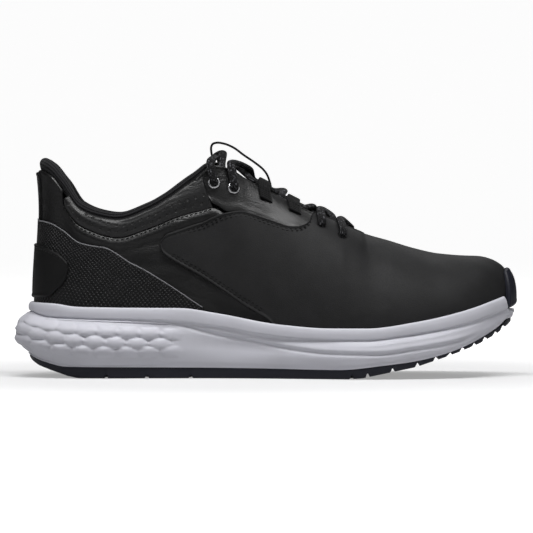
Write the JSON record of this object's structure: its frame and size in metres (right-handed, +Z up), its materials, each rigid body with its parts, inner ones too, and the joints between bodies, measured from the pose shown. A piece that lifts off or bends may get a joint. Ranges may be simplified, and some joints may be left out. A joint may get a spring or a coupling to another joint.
{
  "type": "golf shoe",
  "caption": "Low-cut lace-up golf shoe for the right foot, with padded collar and tongue, pull loop, pale cushioned midsole and grooved rubber outsole.",
  "frame": {"origin": "on the ground under the middle of the shoe's bounding box", "axes": "+X to the toe, +Y to the medial side, +Z up"},
  "size_m": [0.3024, 0.1074, 0.14],
  "materials": {
    "vamp_leather": "matte charcoal",
    "black_leather": "satin, fine grain",
    "collar_leather": "satin, perforated",
    "embossed_wrap": "embossed lattice",
    "smooth_patch": "smooth film",
    "knit_lining": "ribbed knit",
    "soft_foam": "open cell foam",
    "fibre_board": "fibre board",
    "pale_midsole": "matte moulded foam",
    "navy_rubber": "moulded rubber",
    "webbing": "woven tape",
    "lace_yarn": "woven, grey flecks",
    "aglet_film": "heat-shrunk film",
    "silver_rim": "satin metal"
  },
  "bodies": {
    "shoe": {"outsole": "navy_rubber", "toe_guard": "navy_rubber", "midsole": "pale_midsole", "shank": "fibre_board", "strobel_board": "fibre_board", "vamp": "vamp_leather", "quarter_lateral": "black_leather", "quarter_medial": "black_leather", "collar_panel_lateral": "collar_leather", "collar_panel_medial": "collar_leather", "eyestay_lateral": "black_leather", "eyestay_medial": "black_leather", "heel_wrap": "embossed_wrap", "heel_patch": "smooth_patch", "back_strip": "black_leather", "collar_roll": "knit_lining", "quarter_lining": "knit_lining", "vamp_lining": "knit_lining", "collar_foam": "soft_foam", "heel_counter": "fibre_board", "toe_puff": "fibre_board", "eyelet_lateral_1": "silver_rim", "eyelet_lateral_2": "silver_rim", "eyelet_medial_1": "silver_rim", "eyelet_medial_2": "silver_rim", "lace_loop_lateral_1": "webbing", "lace_loop_lateral_2": "webbing", "lace_loop_medial_1": "webbing", "lace_loop_medial_2": "webbing", "lace": "lace_yarn", "aglet_1": "aglet_film", "aglet_2": "aglet_film"},
    "tongue": {"tongue_shell": "black_leather", "tongue_foam": "soft_foam", "tongue_lining": "knit_lining", "tongue_strap": "webbing"},
    "loop": {"pull_loop": "webbing"},
    "sockliner": {"insole_foam": "soft_foam", "insole_top_cloth": "knit_lining"}
  },
  "joints": [
    {"name": "tongue_hinge", "type": "hinge", "parent": "shoe", "child": "tongue", "pos_m": [0.0598, 0.00126, 0.0775], "axis": [0, 1, 0], "range_deg": [-1.5, 0], "stiffness_Nm_per_rad": 2, "springref_deg": 2.86},
    {"name": "pull_loop_sway", "type": "hinge", "parent": "tongue", "child": "loop", "pos_m": [-0.0308, 0.00126, 0.1296], "axis": [0.8562, 0, -0.5167], "range_deg": [-15, 15], "stiffness_Nm_per_rad": 0.01},
    {"name": "insole_lift", "type": "slide", "parent": "shoe", "child": "sockliner", "axis": [0, 0, 1], "range_m": [0, 0.006]}
  ]
}
